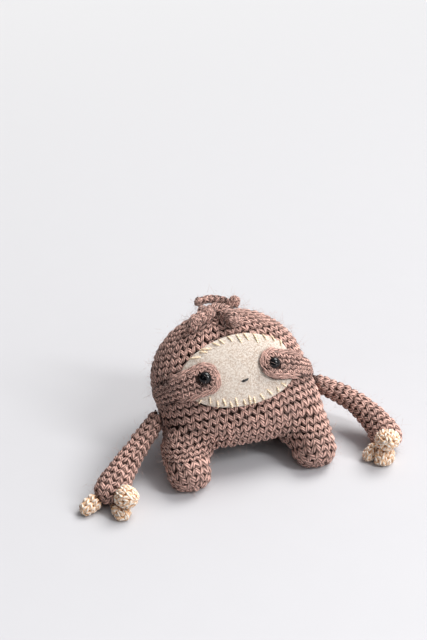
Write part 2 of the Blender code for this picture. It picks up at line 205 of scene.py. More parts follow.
def spunYarnGroup():
    # Twisted plies along the strand, fine fibres and a tone of its own for each stitch, with painted shade in
    # the grooves between the plies, at the strand's dark ends and deep in the stitch. The UV map runs round
    # and along a strand. The attributes tint and depth come with the stitches; depth sets the painted shade
    # deep in a stitch.
    inputs = [("Colour", "Color"), ("PaintedShade", "Color")]
    inputs += [("Plies", "Float"), ("Twist", "Float"), ("Mottle", "Float")]
    group, start, end = newGroup("spun yarn", inputs, [("Colour", "Color"), ("Height", "Float")])
    uv = addNode(group, "ShaderNodeTexCoord").outputs["UV"]
    split = addNode(group, "ShaderNodeSeparateXYZ", {0: uv}).outputs
    around = mathNode(group, "MULTIPLY", split[0], start["Plies"])
    phase = mathNode(group, "FRACT", mathNode(group, "MULTIPLY_ADD", split[1], start["Twist"], around))
    offMiddle = mathNode(group, "ABSOLUTE", mathNode(group, "MULTIPLY_ADD", phase, 2.0, -1.0))
    valley = mathNode(group, "POWER", offMiddle, spun["plyPower"])
    across = mathNode(group, "MULTIPLY", around, spun["fibreSlant"])
    slanted = addNode(group, "ShaderNodeCombineXYZ", {0: across, 1: phase}).outputs[0]
    stretch = {0: slanted, 3: (1.0, spun["fibreSlant"], 1.0)}
    fibre = noiseNode(group, addNode(group, "ShaderNodeMapping", stretch).outputs[0], spun["fibreScale"], 3.0)
    tint = addNode(group, "ShaderNodeAttribute", attribute_name="tint").outputs["Fac"]
    depth = addNode(group, "ShaderNodeAttribute", attribute_name="depth").outputs["Fac"]
    fromMiddle = mathNode(group, "ABSOLUTE", mathNode(group, "MULTIPLY_ADD", split[1], 2.0, -1.0))
    tip = mathNode(group, "POWER", fromMiddle, spun["tipPower"])
    # Painted shade: darker in the ply grooves, deep in the stitch and at the strand's ends.
    paintedShade = mathNode(group, "MULTIPLY_ADD", valley, spun["groove"], depth)
    paintedShade = mathNode(group, "MULTIPLY_ADD", tip, spun["tip"], paintedShade, clamp=True)
    colour = mixColours(group, paintedShade, start["Colour"], start["PaintedShade"])
    change = mathNode(group, "SUBTRACT", noiseNode(group, objectPlace(group), spun["cloudScale"], 2.0), 0.5)
    for value, strength in ((fibre, spun["fleck"]), (tint, spun["tint"])):
        change = mathNode(group, "MULTIPLY_ADD", mathNode(group, "SUBTRACT", value, 0.5), strength, change)
    level = mathNode(group, "MULTIPLY_ADD", change, start["Mottle"], 1.0)
    scaled = addNode(group, "ShaderNodeVectorMath", {0: colour}, operation="SCALE")
    group.links.new(level, scaled.inputs["Scale"])
    group.links.new(scaled.outputs[0], end["Colour"])
    ply = mathNode(group, "SUBTRACT", 1.0, valley)
    group.links.new(mathNode(group, "MULTIPLY_ADD", fibre, spun["fibreHeight"], ply), end["Height"])
    return group


def newMaterial(name, settings):
    material = bpy.data.materials.new(name)
    material.use_nodes = True
    tree = material.node_tree
    shader = tree.nodes["Principled BSDF"]
    for key, value in settings.items():
        shader.inputs[key].default_value = value
    return material, tree, shader


def dress(tree, shader, colour, height=None, distance=0.3 * mm, strength=1.0):
    tree.links.new(colour, shader.inputs["Base Color"])
    if height is not None:
        values = {"Height": height, "Distance": distance, "Strength": strength}
        tree.links.new(addNode(tree, "ShaderNodeBump", values).outputs[0], shader.inputs["Normal"])


spunYarn = spunYarnGroup()
yarn = {"Roughness": 0.7, "Specular IOR Level": 0.4, "Sheen Weight": 0.08, "Sheen Roughness": 0.45}


def yarnMaterial(name, colour, paintedShade, plies=5.0, mottle=0.5):
    material, tree, shader = newMaterial(name, yarn)
    values = {"Colour": (*colour, 1), "PaintedShade": (*paintedShade, 1), "Plies": plies, "Twist": 2.0, "Mottle": mottle}
    group = addNode(tree, "ShaderNodeGroup", values, node_tree=spunYarn)
    dress(tree, shader, group.outputs["Colour"], group.outputs["Height"])
    return material


# Each yarn: its colour, then the darker colour of its painted shade.
brownYarn = yarnMaterial("brown yarn", (0.92, 0.569, 0.478), (0.062, 0.030, 0.023), mottle=1.0)
creamYarn = yarnMaterial("cream yarn", (1.0, 0.96, 0.89), (0.90, 0.54, 0.29), mottle=0.3, plies=3.0)
# Cores painted dark, as the shade between the stitches over them.
shadedCoreYarn = yarnMaterial("shaded core brown yarn", (0.30, 0.185, 0.155), (0.08, 0.04, 0.032))
shadedCreamCore = yarnMaterial("shaded cream core", (0.60, 0.35, 0.19), (0.36, 0.20, 0.11))


def shadowMaterial():
    # The yarn seen deep between the stitches.
    material, tree, shader = newMaterial("shaded yarn", {"Roughness": 0.95, "Specular IOR Level": 0.1})
    strands = noiseNode(tree, objectPlace(tree), 1400.0, 2.0)
    colour = mixColours(tree, strands, (0.035, 0.019, 0.015, 1), (0.11, 0.06, 0.05, 1))
    dress(tree, shader, colour, strands)
    return material


shadedYarn = shadowMaterial()


# Where loose fibres grow: the middle and the normal of each brown stitch, piece by piece.
fuzzRoots = []


def meshData(name, mesh):
    data = bpy.data.meshes.new(name)
    mesh.to_mesh(data)
    mesh.free()
    return data


def makeObject(name, mesh, material=None, smooth=True):
    data = meshData(name, mesh)
    if smooth:
        data.shade_smooth()
    thing = newObject(name, data)
    if material:
        data.materials.append(material)
    return thing


def finishPiece(thing, slot, *nodes):
    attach(thing, "root")
    if nodes:
        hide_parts(*nodes)


# The bag that is both head and trunk leans back, so its shape is worked out in its own axes:
# X to the toy's left, Y to its back, Z up the bag from its bottom.
bag = {
    "height": 69 * mm,
    "lean": 30,
    "headShift": 4.5 * mm,
    "shiftHeights": (12 * mm, 44 * mm),
}
lean = np.array(Matrix.Rotation(math.radians(-bag["lean"]), 3, "X"))


def meshPoints(data):
    points = np.empty(len(data.vertices) * 3)
    data.vertices.foreach_get("co", points)
    return points.reshape(-1, 3)


def findBagFoot():
    # The bag's bottom, straight down it from the crown.
    inBag = meshPoints(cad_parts["head"].data) @ lean
    crown = inBag[inBag[:, 2].argmax()]
    return lean @ (crown - (-bag["headShift"], 0, bag["height"]))


bagFoot = findBagFoot()
floorUnderBag = np.array((bagFoot[0], bagFoot[1], 0))


def toWorld(points):
    return np.asarray(points) @ lean.T + bagFoot


def toBag(points):
    return (np.asarray(points) - bagFoot) @ lean


def bagMiddle(height):
    # The head sits off to the toy's right, past a soft bend in the bag.
    low, high = bag["shiftHeights"]
    share = np.clip((height - low) / (high - low), 0, 1)
    return -bag["headShift"] * share * share * (3 - 2 * share)


def mergedCopy(names, grow):
    mesh = bmesh.new()
    for name in names:
        mesh.from_mesh(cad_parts[name].data)
    bmesh.ops.remove_doubles(mesh, verts=mesh.verts, dist=1e-6)
    mesh.normal_update()
    for vert in mesh.verts:
        vert.co += vert.normal * grow
    return mesh


def smoothed(mesh, verts, rounds):
    everyWay = {f"use_axis_{axis}": True for axis in "xyz"}
    for _ in range(rounds):
        bmesh.ops.smooth_vert(mesh, verts=verts, factor=0.5, **everyWay)


def voxelRemesh(mesh, size):
    thing = makeObject("remesh", mesh)
    voxels = thing.modifiers.new("voxels", "REMESH")
    voxels.mode = "VOXEL"
    voxels.voxel_size = size
    shown = thing.evaluated_get(bpy.context.evaluated_depsgraph_get())
    done = bmesh.new()
    done.from_mesh(shown.data)
    bpy.data.objects.remove(thing)
    return done


# The stuffed body: head, trunk and legs as one soft form.
body = {
    "grow": 0.2 * mm,
    "voxel": 1.0 * mm,
    "rounds": 4,
    "crotchCorners": ((17, 2), (-21.5, 2)),  # across and up the bag, mm
    "crotchReach": 9 * mm,
    "crotchRounds": 40,
    "skinDepth": 2.0 * mm,
    "floorGap": 0.4 * mm,
}


def bodyForm():
    mesh = voxelRemesh(mergedCopy(("head", "trunk", "leg_left", "leg_right"), body["grow"]), body["voxel"])
    places = toBag([vert.co for vert in mesh.verts])
    near = np.zeros(len(places), bool)
    for across, up in body["crotchCorners"]:
        gap = places[:, [0, 2]] - np.array((across, up)) * mm
        near |= np.linalg.norm(gap, axis=1) < body["crotchReach"]
    mesh.verts.ensure_lookup_table()
    smoothed(mesh, [mesh.verts[i] for i in np.flatnonzero(near)], body["crotchRounds"])
    smoothed(mesh, mesh.verts, body["rounds"])
    for vert in mesh.verts:
        vert.co.z = max(vert.co.z, 0)
    mesh.normal_update()
    return mesh


bodyMesh = bodyForm()
bodySurface = BVHTree.FromBMesh(bodyMesh)


def shrinkSkin(mesh, depth):
    for vert in mesh.verts:
        vert.co -= vert.normal * depth
        vert.co.z = max(vert.co.z, body["floorGap"])


shrinkSkin(bodyMesh, body["skinDepth"])
bodySkin = makeObject("body", bodyMesh, shadedYarn)
finishPiece(bodySkin, "brown_yarn", "head", "trunk", "leg_left", "leg_right")
print("stuffed body formed")


stitch = {
    "width": 4.2 * mm,
    "height": 3.85 * mm,
    "drift": -0.12,  # how far each round sets off from the last, in stitches
    "scales": (0.5, 1.15),
    "shortest": 0.3,  # of the height of a row's stitches, or one is left out
    "most": 6,  # that a row much too tall holds one above the other
    # How much a stitch differs from the next: degrees of spin, then shares of its size, then mm out.
    "spin": 6,
    "widen": 0.06,
    "slide": 0.04,
    "stand": 0.12,
    # Painted shade: the yarn gets darker from this deep, and over this much, mm.
    "shadeFrom": 0.5,
    "shadeOver": 1.3,
}
# A crochet stitch is two strands that meet in a V, over the bar behind them, and a chain is three
# strands side by side. Each strand has its middle and half size in mm, X across, Y up the row and Z
# out, then its lean in degrees, the dip of its ends, its tilt into the row above and its taper.
vLobes = (
    ((-1.14, 2.3, -1.45), (1.18, 2.7, 1.42), 25, 0.2, 0.36, 0.3),
    ((1.14, 2.2, -1.53), (1.18, 2.7, 1.42), -29, 0.2, 0.36, 0.3),
    ((0.0, 1.8, -1.6), (1.0, 1.2, 1.0), 20, 0.2, 0, 0),
)
chainLobes = (
    ((-0.3, 3.1, -0.7), (2.7, 0.8, 0.8), 4, 0, 0, 0),
    ((0.9, 1.95, -0.62), (2.7, 0.8, 0.8), 3, 0, 0, 0),
    ((-0.9, 0.75, -0.7), (2.5, 0.8, 0.8), -3, 0, 0, 0),
)


def stitchTemplate(lobes):
    # Each strand is a ball whose poles are turned to its ends, then drawn out long.
    mesh = bmesh.new()
    mesh.loops.layers.uv.new("UVMap")
    for at, half, turn, dip, tilt, taper in lobes:
        verts = bmesh.ops.create_uvsphere(mesh, u_segments=6, v_segments=5, radius=1, calc_uvs=True)["verts"]
        bmesh.ops.rotate(mesh, verts=verts, matrix=Matrix.Rotation(math.radians(-90), 3, "X"))
        if half[0] > half[1]:
            bmesh.ops.rotate(mesh, verts=verts, matrix=Matrix.Rotation(math.radians(-90), 3, "Z"))
        for vert in verts:
            vert.co.x *= 1 - taper * vert.co.y
        bmesh.ops.scale(mesh, verts=verts, vec=half)
        bmesh.ops.rotate(mesh, verts=verts, matrix=Matrix.Rotation(math.radians(turn), 3, "Z"))
        bmesh.ops.translate(mesh, verts=verts, vec=at)
        for vert in verts:
            along = (vert.co.y - at[1]) / half[1]
            vert.co.z -= dip * along * along + tilt * along
    bmesh.ops.scale(mesh, verts=mesh.verts, vec=(mm, mm, mm))
    return meshData("template", mesh)


def makeCopies(name, template, points, material):
    # One piece from copies of a template, given the points of each.
    thing = makeObject(name, repeated(template, len(points)), material)
    thing.data.vertices.foreach_set("co", points.ravel())
    thing.data.update()
    bpy.data.meshes.remove(template)
    return thing


def repeated(template, count):
    # So many copies in one mesh, doubled for as long as that fits.
    mesh = bmesh.new()
    mesh.from_mesh(template)
    block = bpy.data.meshes.new("block")
    made = 1
    while made * 2 <= count:
        mesh.to_mesh(block)
        mesh.from_mesh(block)
        made *= 2
    for _ in range(count - made):
        mesh.from_mesh(template)
    bpy.data.meshes.remove(block)
    return mesh


def bendAlong(edge, across):
    # A quadratic through the cell edge's two ends and middle, at across from -0.5 to 0.5.
    first, middle, last = edge[:, None, 0], edge[:, None, 1], edge[:, None, 2]
    across = across[:, :, None]
    return middle + across * (last - first) + 2 * across**2 * (first + last - 2 * middle)


def makeStitches(name, cells, lobes, material, slot, fat=1.0, lift=0.0, onto=None):
    # Cells are an array of (count, lower and upper edge, three points of an edge, xyz).
    # onto is a surface that the stitches are drawn onto where they reach past their own cell.
    template = stitchTemplate(lobes)
    count = len(cells)
    base = meshPoints(template)
    noise = chance.normal(size=(count, 6))  # the last is spare
    wide = np.linalg.norm(cells[:, :, 2] - cells[:, :, 0], axis=2).mean(axis=1)
    tall = np.linalg.norm(cells[:, 1, 1] - cells[:, 0, 1], axis=1)
    size = np.clip(np.sqrt(wide * tall / stitch["width"] / stitch["height"]), *stitch["scales"])
    spin = noise[:, 0, None] * math.radians(stitch["spin"])
    x = base[None, :, 0] * (1 + noise[:, 1, None] * stitch["widen"]) * fat
    y = base[None, :, 1] - stitch["height"] / 2
    across = (x * np.cos(spin) - y * np.sin(spin)) / stitch["width"] + noise[:, 2, None] * stitch["slide"]
    up = (x * np.sin(spin) + y * np.cos(spin)) / stitch["height"] + 0.5 + noise[:, 3, None] * stitch["slide"]
    out = (base[None, :, 2] * fat + noise[:, 4, None] * stitch["stand"] * mm) * size[:, None] + lift
    low, high = bendAlong(cells[:, 0], across), bendAlong(cells[:, 1], across)
    right = (cells[:, :, 2] - cells[:, :, 0]).sum(axis=1)
    rise = cells[:, 1, 1] - cells[:, 0, 1]
    normal = np.cross(right, rise)
    normal /= np.linalg.norm(normal, axis=1)[:, None] + 1e-12
    points = low + (high - low) * up[:, :, None]
    if onto:
        for row, past in zip(points, (up > 1.0) | (up < 0.0)):
            row[past] = [onto.find_nearest(point)[0] for point in row[past]]
    points += normal[:, None] * out[:, :, None]
    points[:, :, 2] = np.maximum(points[:, :, 2], 0.0)
    if material == brownYarn:
        fuzzRoots.append(np.stack((cells.mean(axis=(1, 2)) + normal * lift, normal), axis=1))
    thing = makeCopies(name, template, points, material)
    # How much painted shade each point of a stitch gets, by how deep it lies.
    depth = np.clip((-base[:, 2] / mm - stitch["shadeFrom"]) / stitch["shadeOver"], 0, 1)
    tint = np.repeat(chance.random(count), len(base))
    for key, values in (("tint", tint), ("depth", np.tile(depth, count))):
        thing.data.attributes.new(key, "FLOAT", "POINT").data.foreach_set("value", values)
    finishPiece(thing, slot)


def castRings(surface, stations, side, reach, count, flat=0.0):
    # Rings of points where rays meet the surface. A station is (place, ahead, tilt, spread): its rays
    # start on a spine through the place that is spread long to each side, and tilt towards ahead.
    # The first ray points to side. flat is the share of the rays that stand square to the spine.
    corners = np.cumsum((0, flat / 4, 0.5 - flat / 2, flat / 2, 0.5 - flat / 2, flat / 4))
    along = np.linspace(0, 1, count, endpoint=False)
    turns = np.interp(along, corners, (0, 0, math.pi, math.pi, math.tau, math.tau))
    spines = np.interp(along, corners, (0, 1, 1, -1, -1, 0))
    rings = []
    last = np.full(count, reach)
    for place, ahead, tilt, spread in stations:
        place, ahead = Vector(place), Vector(ahead).normalized()
        first = (Vector(side) - ahead * ahead.dot(Vector(side))).normalized()
        second = first.cross(ahead)
        ring = []
        for i, (turn, spine) in enumerate(zip(turns, spines)):
            start = place + second * spine * spread[int(spine < 0)]
            way = first * math.cos(turn) + second * math.sin(turn)
            way = way * math.cos(tilt) + ahead * math.sin(tilt)
            gap = surface.ray_cast(start, way, reach)[3]
            if gap is not None:
                last[i] = gap
            ring.append(start + way * last[i])
        rings.append(ring + ring[:1])
    return np.array(rings)


def endCap(place, ahead, spread=(0.0, 0.0), steps=12):
    # Stations whose rays fan out from a centre inside a rounded end to its pole.
    tilts = np.linspace(0, math.radians(88), steps + 1)[1:]
    return [(place, ahead, tilt, [part * math.cos(tilt) for part in spread]) for tilt in tilts]


def pickRows(rings, height, columns=None, closing=0.0):
    # Rows a stitch apart, measured along the surface, the first ones shorter by the share closing.
    # columns are the ones to measure along.
    steps = np.linalg.norm(np.diff(rings, axis=0), axis=2)
    steps = steps.mean(axis=1) if columns is None else steps[:, columns].mean(axis=1)
    gone = np.concatenate(((0.0,), np.cumsum(steps)))
    shares = np.linspace(0, 1, max(1, round(gone[-1] / height)) + 1)
    shares = shares * (1 - closing) + closing * shares**2
    levels = np.interp(shares * gone[-1], gone, np.arange(len(rings)))
    low = np.floor(levels).astype(int)
    high = np.minimum(low + 1, len(rings) - 1)
    share = (levels - low)[:, None, None]
    return rings[low] * (1 - share) + rings[high] * share


def alongRow(row, column):
    # Points at places between those of a row.
    index = np.arange(len(row))
    return np.stack([np.interp(column, index, row[:, axis]) for axis in range(3)], axis=-1)


def goneAlong(points):
    # How far along a line each of its points is.
    return np.insert(np.cumsum(np.linalg.norm(np.diff(points, axis=0), axis=1)), 0, 0.0)


def rowCells(rows, width=stitch["width"], height=stitch["height"], step=1, firstWidth=1.0):
    # Cells for rounds of stitches between rows, the upper row first. The stitches in a round change by
    # step at a time. firstWidth is the share of width that the first have; past half way they have it all.
    cells = []
    halfway = len(rows) / 2
    for k, (upper, lower) in enumerate(zip(rows, rows[1:])):
        lengths = [goneAlong(row) for row in (lower, upper)]
        around = (lengths[0][-1] + lengths[1][-1]) / 2
        gone = max(lengths, key=lambda length: length[-1])
        wanted = around / width / (1 - (1 - firstWidth) * max(0.0, 1 - k / halfway))
        count = max(1, round(wanted / step) * step)
        middles = (np.arange(count) + 0.5 + stitch["drift"] * k) / count
        at = (middles[:, None] + np.array((-0.5, 0, 0.5)) / count) * gone[-1] % gone[-1]
        column = np.interp(at, gone, np.arange(len(lower)))
        bottom, top = alongRow(lower, column), alongRow(upper, column)
        tall = np.linalg.norm(top[:, 1] - bottom[:, 1], axis=1)
        parts = np.clip(np.round(tall / height), 1, stitch["most"])
        kept = tall > stitch["shortest"] * height
        for part in range(int(parts.max())):
            chosen = kept & (parts > part)
            rise = (top - bottom)[chosen]
            share = parts[chosen, None, None]
            low = bottom[chosen] + rise * part / share
            cells.append(np.stack((low, low + rise / share), axis=1))
    return np.concatenate(cells)


bagRound = {
    "domeCentre": 52 * mm,
    "domeSteps": 30,
    "crotch": 1.5 * mm,
    "steps": 130,
    "rays": 160,
    "reach": 60 * mm,
    "spine": 0.72,  # share of the bag's half width
    "flat": 0.5,
    "rowTilt": 6,
    "tiltBy": 16 * mm,  # above the crotch, and all of the tilt from there up
    "sag": 5 * mm,  # how far forward the middle of the rounds goes at the bottom
    "sagBelow": 18 * mm,
    "rowHeight": 0.94 * stitch["height"],
    "closing": 0.12,
    "crownWidth": 0.86,
    "chin": 20 * mm,
}


def bagRows():
    # Rows of the bag, crown to crotch.
    stations = []
    for height in np.linspace(bagRound["domeCentre"], bagRound["crotch"], bagRound["steps"]):
        share = min(1.0, (height - bagRound["crotch"]) / bagRound["tiltBy"])
        turn = math.radians(bagRound["rowTilt"]) * share
        down = lean @ (math.sin(turn), 0, -math.cos(turn))
        ahead = bagRound["sag"] * max(0.0, 1 - height / bagRound["sagBelow"])
        place = toWorld((bagMiddle(height), -ahead, height))
        spread = [bodySurface.ray_cast(place, (way, 0, 0))[3] * bagRound["spine"] for way in (-1, 1)]
        stations.append((place, down, 0, spread))
    place, down, _, spread = stations[0]
    dome = endCap(place, -down, spread, bagRound["domeSteps"])
    dome = [(at, -way, -tilt, wide) for at, way, tilt, wide in dome]
    stations = dome[::-1] + stations
    side = lean @ (0, 1, 0)
    rings = castRings(bodySurface, stations, side, bagRound["reach"], bagRound["rays"], bagRound["flat"])
    return pickRows(rings, bagRound["rowHeight"], closing=bagRound["closing"])


foot = {
    "across": {"left": 29.5 * mm, "right": -34 * mm},
    "pole": (-21.9 * mm, -14.0 * mm),
    "bend": 33,
    "length": 16.4 * mm,
    "steps": 60,
    "capDepth": 9 * mm,
    "reach": 17 * mm,
    "rays": 72,
    "front": slice(24, 49),  # the rays that face forward
    "stitchWidth": 4.8 * mm,
}


def footStations(across):
    # From the crotch down and forward to near the foot's end, then a fan over the end.
    bend, steps = math.radians(foot["bend"]), foot["steps"]
    place = np.array((across, *foot["pole"]))
    stations = []
    for i in range(steps):
        turn = bend * (1 - i / steps)
        place = place + np.array((0, math.sin(turn), math.cos(turn))) * foot["length"] / steps
        if i * foot["length"] / steps > foot["capDepth"]:
            stations.append((toWorld(place), lean @ (0, -math.sin(turn), -math.cos(turn)), 0, (0, 0)))
    stations.reverse()
    return stations + endCap(*stations[-1][:2])


bodyCells = rowCells(bagRows(), step=6, firstWidth=bagRound["crownWidth"])
isHead = toBag(bodyCells[:, 0, 1])[:, 2] > bagRound["chin"]
makeStitches("head_stitches", bodyCells[isHead], vLobes, brownYarn, "brown_yarn")
makeStitches("trunk_stitches", bodyCells[~isHead], vLobes, brownYarn, "brown_yarn")
for name, across in foot["across"].items():
    rings = castRings(bodySurface, footStations(across), lean @ (0, 1, 0), foot["reach"], foot["rays"])
    cells = rowCells(pickRows(rings, stitch["height"], foot["front"]), width=foot["stitchWidth"])
    makeStitches(f"leg_{name}_stitches", cells, vLobes, brownYarn, "brown_yarn")
print("body stitched", len(bodyCells))


def bentLine(route, count):
    # Points from the start of a route to its end, drawn to its bend, and the ways they head.
    start, bend, end = (np.asarray(place) for place in route)
    shares = np.linspace(0, 1, count)[:, None]
    points = start * (1 - shares) ** 2 + bend * 2 * shares * (1 - shares) + end * shares**2
    return points, 2 * (bend - start) * (1 - shares) + 2 * (end - bend) * shares


def routeStations(route, radius, count=400, steps=60, startGap=0.3 * mm):
    # Stations along a bent route to its tip, which is rounded by radius.
    points, ways = bentLine(route, count)
    gone = goneAlong(points)
    at = np.interp(np.linspace(startGap, gone[-1] - radius, steps), gone, np.arange(count))
    stations = [(place, way, 0, (0, 0)) for place, way in zip(alongRow(points, at), alongRow(ways, at))]
    return stations + endCap(*stations[-1][:2])


def isInside(surface, place, depth=0.3 * mm):
    near, normal, _, gap = surface.find_nearest(place)
    return gap > depth and normal.dot(Vector(place) - near) < 0


core = {"voxel": 0.6 * mm, "rounds": 3, "depth": 1.1 * mm, "patchDepth": 0.9 * mm}


def makeCore(node, skin, slot, depth=core["depth"]):
    # The plain form under a piece's stitches, sunk by depth, in a dark yarn painted as the shade between
    # them.
    mesh = voxelRemesh(mergedCopy([node], 0), core["voxel"])
    smoothed(mesh, mesh.verts, core["rounds"])
    mesh.normal_update()
    shrinkSkin(mesh, depth)
    thing = makeObject(f"{node}_core", mesh, skin)
    finishPiece(thing, slot, node)
    return thing


def sleeve(node, line, side, yarns, slot, sewn, reach=12 * mm, rays=48):
    # A stitched tube over a CAD node, with a plain core under the stitches. Yarns are for the two.
    surface = BVHTree.FromBMesh(mergedCopy([node], 0))
    line = [stop for stop in line if isInside(surface, stop[0])]
    rows = pickRows(castRings(surface, line, side, reach, rays), sewn["height"])
    cells = rowCells(rows, sewn["width"], sewn["height"])
    makeStitches(f"{node}_stitches", cells, vLobes, yarns[0], slot, sewn["fat"], sewn["lift"], surface)
    return makeCore(node, yarns[1], slot)


# Places are mm from the floor under the bag's foot, and shoulders are in the bag's axes.
arms = {
    "left": {"shoulder": (34.07, 0.93, 26.87), "bend": (68, 6, 14), "end": (67.5, -25, 4.7)},
    "right": {"shoulder": (-37.94, 0.93, 24.45), "bend": (-60, -2.5, 12), "end": (-77, -24, 4.7)},
    "handRadius": 8.2 * mm,
    "sewn": {"width": 4.2 * mm, "height": 3.6 * mm, "fat": 1.08, "lift": 0.35 * mm},
}
claws = {
    # Each by its turn and rise in degrees and its radius in mm.
    "left": ((-58, -16, 3.5), (-22, 27, 5.4), (-30, -18, 4.2)),
    "right": ((-66, -16, 4.2), (27, 12, 5.6), (11, -19, 4.2)),
    "length": 14 * mm,
    "rootReach": 4.5 * mm,
    "sewn": {"width": 3.3 * mm, "height": 3.1 * mm, "fat": 1.0, "lift": 0.25 * mm},
}
under = (0, 0, -1)  # where the rounds of arms and claws start


def stitchClaws(name, palm):
    for number, (turn, rise, radius) in enumerate(claws[name], 1):
        way = wayOf(turn, rise)
        root = palm + way * claws["rootReach"]
        tip = root + way * claws["length"]
        line = routeStations((root, (root + tip) / 2, tip), radius * mm)
        sleeve(f"claw_{name}_{number}", line, under, (creamYarn, shadedCreamCore), "cream_yarn", claws["sewn"])


for name in leftRight:
    shoulder = toWorld(np.array(arms[name]["shoulder"]) * mm)
    bend, end = (np.array(arms[name][key]) * mm + floorUnderBag for key in ("bend", "end"))
    line = routeStations((shoulder, bend, end), arms["handRadius"])
    armCore = sleeve(f"arm_{name}", line, under, (brownYarn, shadedYarn), "brown_yarn", arms["sewn"])
    ahead = (end - bend) / np.linalg.norm(end - bend)
    stitchClaws(name, end - ahead * arms["handRadius"])
print("arms and claws stitched")


# The tuft's curls: radius, then root, bend and tip in the bag's axes from the crown, mm.
curls = (
    (2.1, (9.5, 3.5, -2.0), (3.5, 4, 8.2), (-11.0, 3.5, 4.2)),
    (3.0, (6, 0, -4.5), (7.5, -1, 1), (8.9, -0.5, 5.0)),
    (3.1, (-2.5, -6, -2.5), (-11.6, -14, 1), (-19.8, -15, -7.2)),
    (3.3, (0, -8, -4), (0.8, -15.5, -1), (2.4, -20.8, -6.6)),
)
# The stitches of a curl whose radius is under 3 mm, and of the others.
thinCurl = {"width": 2.9 * mm, "height": 2.9 * mm, "fat": 1.15, "lift": 0.35 * mm}
thickCurl = {"width": 3.3 * mm, "height": 3.3 * mm, "fat": 1.15, "lift": 0.65 * mm}
crown = np.array((bagMiddle(bag["height"]), 0, bag["height"]))


def fromCrown(place):
    return toWorld(crown + np.array(place) * mm)


for number, (radius, *route) in enumerate(curls, 1):
    line = routeStations([fromCrown(place) for place in route], radius * mm)
    sewn = thinCurl if radius < 3 else thickCurl
    sleeve(f"hair_curl_{number}", line, (0, 1, 0), (brownYarn, shadedCoreYarn), "brown_yarn", sewn)


def chainCells(route, out, width=3.4 * mm, height=2.9 * mm, count=60):
    # One line of stitches along a bent route, facing out.
    points = bentLine(route, count)[0]
    across = np.cross(np.gradient(points, axis=0), out)
    across *= width / 2 / np.linalg.norm(across, axis=1)[:, None]
    stops = np.linspace(0, count - 1, max(2, round(goneAlong(points)[-1] / height)) + 1)
    middle, half = alongRow(points, stops), alongRow(across, stops)
    edges = np.stack((middle - half, middle, middle + half), axis=1)
    return np.stack((edges[:-1], edges[1:]), axis=1)


# Chains that fill the tuft between its curls: root, bend and tip as above, and which way each faces.
tuftChains = (
    ((-7.5, -1.5, -0.2), (-3.5, 1, 4.2), (6, 1, 1.0), (0, -0.7, 0.7)),
    ((-7.0, -2, 0.8), (-1, -2, 3.6), (5, -3, 0.6), (0, -0.6, 0.8)),
    ((-4.5, -9.5, 0.2), (0, -10.5, 3.2), (4.2, -9, 0.4), (0, -0.7, 0.7)),
    ((-2.6, -15, -3.4), (0.5, -21, -11.5), (7.0, -17.5, -4.4), (0, -0.95, 0.2)),
)
cells = [chainCells([fromCrown(place) for place in route], lean @ out) for *route, out in tuftChains]
makeStitches("tuft_chains", np.concatenate(cells), vLobes, brownYarn, "brown_yarn")


def stitchKnob(name, middle, radius, ahead, width=2.7 * mm, height=2.2 * mm, rays=48):
    # Rounds of small stitches on the half of a ball that faces ahead.
    mesh = bmesh.new()
    bmesh.ops.create_icosphere(mesh, subdivisions=3, radius=radius, matrix=Matrix.Translation(middle))
    ball = BVHTree.FromBMesh(mesh)
    mesh.free()
    rings = castRings(ball, endCap(middle, ahead), (1, 0, 0), 2 * radius, rays)
    cells = rowCells(pickRows(rings, height), width, height)
    makeStitches(name, cells, vLobes, brownYarn, "brown_yarn", onto=ball)


# Rolled ends and turns of the curls: middle, radius and the way each faces.
tuftKnobs = (
    ((2.3, -17.6, -5.2), 3.7, (0.1, -0.85, 0.5)),
    ((-9.0, 2.8, 4.4), 2.5, (-0.35, -0.8, 0.5)),
    ((8.4, -1.0, 2.4), 3.5, (0.3, -0.7, 0.65)),
    ((-8.4, -2.2, 0.4), 3.1, (-0.2, -0.8, 0.6)),
    ((-8.2, -11.2, -0.6), 3.7, (-0.1, -0.8, 0.6)),
    ((-15.4, -15.4, -3.6), 3.6, (-0.3, -0.85, 0.4)),
)
for number, (at, radius, ahead) in enumerate(tuftKnobs, 1):
    stitchKnob(f"tuft_knob_{number}", fromCrown(at), radius * mm, lean @ ahead)
print("tuft stitched")


# Places on the face are (distance round from the middle, height up the bag) in mm, and so are sizes.
faceHeight = 39.5


def bodyHit(height, turn):
    # Where a level ray from inside the bag meets its surface, and the normal there.
    middle = toWorld((bagMiddle(height), 0, height))
    return bodySurface.ray_cast(middle, lean @ (math.sin(turn), -math.cos(turn), 0))[:2]


def measureRound(samples=240):
    # Distance round the bag from its front at the height of the face, against the turn.
    turns = np.linspace(0, math.pi, samples)
    return goneAlong(np.array([bodyHit(faceHeight * mm, turn)[0] for turn in turns])), turns


roundGone, roundTurns = measureRound()


def facePoint(place, lift):
    across, height = place[0] * mm, place[1] * mm
    hit, normal = bodyHit(height, math.copysign(np.interp(abs(across), roundGone, roundTurns), across))
    return hit + normal * lift * mm


def facePlaces(points):
    # The other way round: the places on the face of world points.
    inBag = toBag(points)
    turns = np.arctan2(inBag[:, 0] - bagMiddle(inBag[:, 2]), -inBag[:, 1])
    across = np.copysign(np.interp(np.abs(turns), roundTurns, roundGone), turns)
    return np.stack((across, inBag[:, 2]), axis=1) / mm


def bell(share):
    return math.exp(-(share**2))


